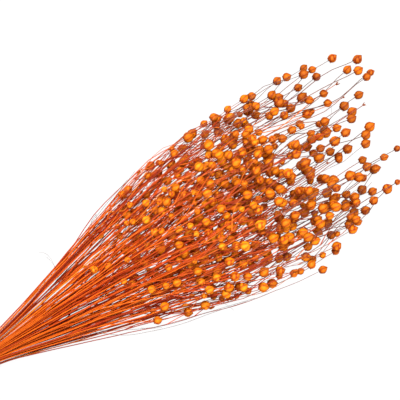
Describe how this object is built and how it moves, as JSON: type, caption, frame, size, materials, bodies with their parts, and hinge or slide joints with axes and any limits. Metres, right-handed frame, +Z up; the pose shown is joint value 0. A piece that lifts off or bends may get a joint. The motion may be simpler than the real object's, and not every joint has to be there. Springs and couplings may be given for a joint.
{
  "type": "dried flax bunch",
  "caption": "Bunch of dried, dyed flax stems with round seed bolls, tied round the waist with twine and lying flat on a surface.",
  "frame": {"origin": "on the surface that the bunch lies on, under the middle of the twine tie", "axes": "+X along the stems from the tie to the seed bolls, +Y across the bunch, +Z up from the surface"},
  "size_m": [0.5574, 0.1756, 0.091],
  "materials": {
    "dyed_flax": "matt, dyed burnt orange; bolls lighter, stems darker and redder",
    "twine": "undyed twisted twine"
  },
  "bodies": {
    "root": {"twine_tie": "twine", "spray_01": "dyed_flax", "spray_02": "dyed_flax", "spray_03": "dyed_flax", "spray_04": "dyed_flax", "spray_05": "dyed_flax", "spray_06": "dyed_flax", "spray_07": "dyed_flax", "spray_08": "dyed_flax", "spray_09": "dyed_flax", "spray_10": "dyed_flax", "spray_11": "dyed_flax", "spray_12": "dyed_flax", "spray_13": "dyed_flax", "spray_14": "dyed_flax", "spray_15": "dyed_flax", "spray_16": "dyed_flax", "spray_17": "dyed_flax", "spray_18": "dyed_flax", "spray_19": "dyed_flax", "spray_20": "dyed_flax", "spray_21": "dyed_flax", "spray_22": "dyed_flax", "spray_23": "dyed_flax", "spray_24": "dyed_flax", "spray_25": "dyed_flax", "spray_26": "dyed_flax", "spray_27": "dyed_flax", "spray_28": "dyed_flax", "spray_29": "dyed_flax", "spray_30": "dyed_flax", "spray_31": "dyed_flax", "spray_32": "dyed_flax", "spray_33": "dyed_flax", "spray_34": "dyed_flax", "spray_35": "dyed_flax", "spray_36": "dyed_flax", "spray_37": "dyed_flax", "spray_38": "dyed_flax", "spray_39": "dyed_flax", "spray_40": "dyed_flax", "spray_41": "dyed_flax", "spray_42": "dyed_flax", "spray_43": "dyed_flax", "spray_44": "dyed_flax", "spray_45": "dyed_flax", "spray_46": "dyed_flax", "spray_47": "dyed_flax", "spray_48": "dyed_flax", "spray_49": "dyed_flax", "spray_50": "dyed_flax", "spray_51": "dyed_flax", "spray_52": "dyed_flax", "spray_53": "dyed_flax", "spray_54": "dyed_flax", "spray_55": "dyed_flax", "spray_56": "dyed_flax", "spray_57": "dyed_flax", "spray_58": "dyed_flax", "spray_59": "dyed_flax"}
  },
  "joints": []
}
